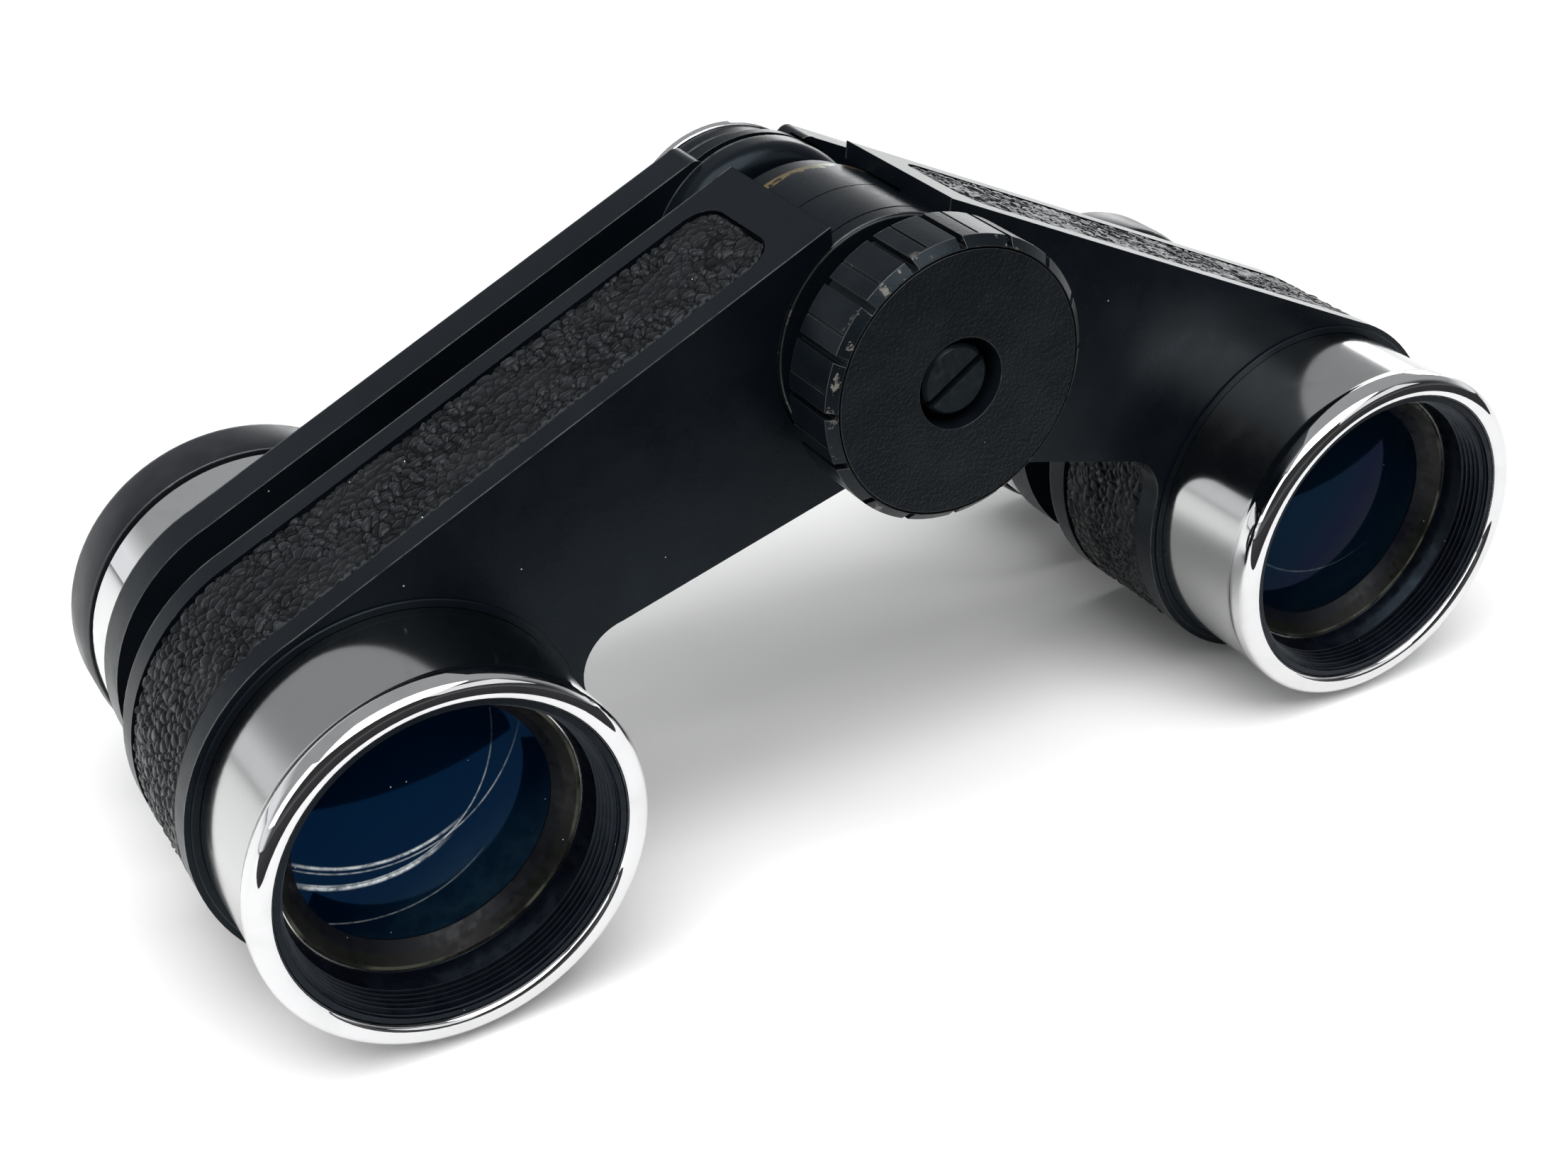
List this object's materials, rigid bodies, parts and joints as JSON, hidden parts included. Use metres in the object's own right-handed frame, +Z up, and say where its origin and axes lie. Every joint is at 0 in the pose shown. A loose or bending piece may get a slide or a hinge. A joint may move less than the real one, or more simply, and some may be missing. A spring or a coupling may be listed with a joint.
{
  "type": "binoculars",
  "caption": "Compact folding centre-focus binoculars with flared chrome objective rims, leatherette edge bands and a fluted focus wheel.",
  "frame": {"origin": "bottom centre of the overall box, on the table under the hinge axis", "axes": "+Y along the optical axes from the objectives to the eyepieces, +Z up, X across the two halves; the objectives face -Y"},
  "size_m": [0.0886, 0.035, 0.0395],
  "materials": {
    "black_enamel": "satin black enamel on a die casting",
    "leatherette": "black pebble-grain leatherette",
    "black_ring": "black anodised",
    "chrome_brass": "bright plating",
    "olive_ring": "dark olive, turned",
    "coated_glass": "deep blue coating",
    "clear_glass": "clear",
    "bare_brass": "turned",
    "bare_steel": "turned",
    "dark_steel": "blackened",
    "wheel_plastic": "fine textured black"
  },
  "bodies": {
    "left_half": {"left_body": "black_enamel", "left_leatherette": "leatherette", "left_collar": "black_ring", "left_objective_tube": "chrome_brass", "left_baffle": "black_ring", "left_lens_ring": "olive_ring", "left_objective_lens": "coated_glass", "left_guide_bush": "bare_brass", "hinge_flange": "black_enamel", "hinge_sleeve": "bare_steel"},
    "right_half": {"right_body": "black_enamel", "right_leatherette": "leatherette", "right_collar": "black_ring", "right_objective_tube": "chrome_brass", "right_baffle": "black_ring", "right_lens_ring": "olive_ring", "right_objective_lens": "coated_glass", "right_guide_bush": "bare_brass"},
    "wheel": {"focus_wheel": "wheel_plastic", "wheel_screw": "dark_steel", "wheel_washer": "bare_brass", "focus_screw": "bare_brass"},
    "left_eyepiece": {"left_eyepiece_plate": "black_enamel", "left_eyepiece_tube": "black_ring", "left_eyepiece_barrel": "chrome_brass", "left_eyepiece_rim": "black_ring", "left_eyepiece_lens": "clear_glass", "left_eyepiece_lens_ring": "black_ring", "spindle": "bare_steel", "rear_cap": "chrome_brass", "rear_cap_disc": "black_ring", "rear_cap_screw": "dark_steel"},
    "right_eyepiece": {"right_eyepiece_plate": "black_enamel", "right_eyepiece_tube": "black_ring", "right_eyepiece_barrel": "chrome_brass", "right_eyepiece_rim": "black_ring", "right_eyepiece_lens": "clear_glass", "right_eyepiece_lens_ring": "black_ring"}
  },
  "joints": [
    {"name": "fold", "type": "hinge", "parent": "left_half", "child": "right_half", "pos_m": [0, 0, 0.03109], "axis": [0, 1, 0], "range_deg": [-50, 25]},
    {"name": "focus_turn", "type": "hinge", "parent": "left_half", "child": "wheel", "pos_m": [0, 0, 0.03109], "axis": [0, 1, 0], "range_deg": [-130, 220]},
    {"name": "left_focus_slide", "type": "slide", "parent": "left_half", "child": "left_eyepiece", "axis": [0, 1, 0], "range_m": [-0.0015, 0.0025]},
    {"name": "right_focus_slide", "type": "slide", "parent": "right_half", "child": "right_eyepiece", "axis": [0, 1, 0], "range_m": [-0.0015, 0.0025]}
  ],
  "couplings": [
    {"joint": "left_focus_slide", "follows": "focus_turn", "m_per_rad": 0.00063662},
    {"joint": "right_focus_slide", "follows": "focus_turn", "m_per_rad": 0.00063662}
  ]
}
